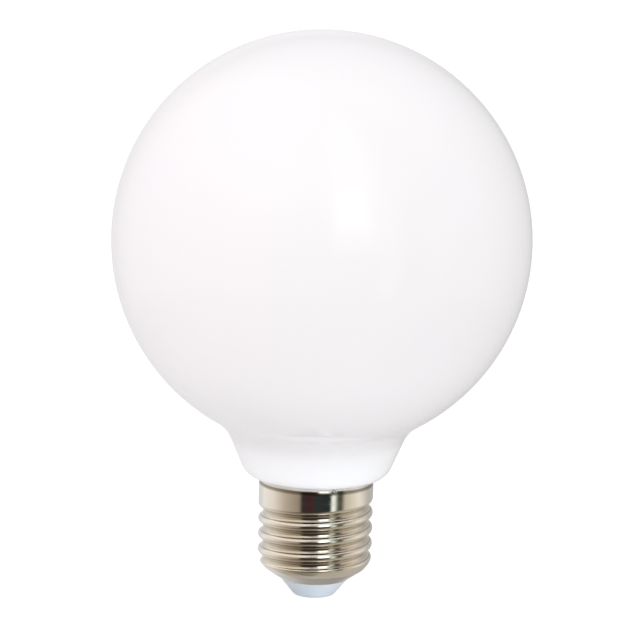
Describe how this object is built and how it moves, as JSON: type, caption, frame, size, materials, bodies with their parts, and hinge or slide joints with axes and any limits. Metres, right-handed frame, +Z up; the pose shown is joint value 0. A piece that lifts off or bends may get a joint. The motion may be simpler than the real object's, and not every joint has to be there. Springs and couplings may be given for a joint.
{
  "type": "globe bulb",
  "caption": "Opal glass globe bulb with a tapering neck and a nickelled screw cap: curled rim, plain collar, rolled right-hand thread, conical end with a pale insulator and a centre contact.",
  "frame": {"origin": "tip of the centre contact, on the bulb's axis", "axes": "+Z up the axis from the cap to the globe, -Y towards the picture's viewer, +X to the viewer's right"},
  "size_m": [0.095, 0.095, 0.1299],
  "materials": {
    "opal_glass": "opal white with a smooth, glossy surface that nothing shows through",
    "cap_metal": "bright nickel plate, slightly warm",
    "insulator_body": "pale blue-grey, satin gloss",
    "contact_metal": "nickelled, lightly brushed",
    "solder_metal": "dull grey solder"
  },
  "bodies": {
    "root": {"globe": "opal_glass", "screw_shell": "cap_metal", "insulator": "insulator_body", "centre_contact": "contact_metal", "side_solder": "solder_metal"}
  },
  "joints": []
}
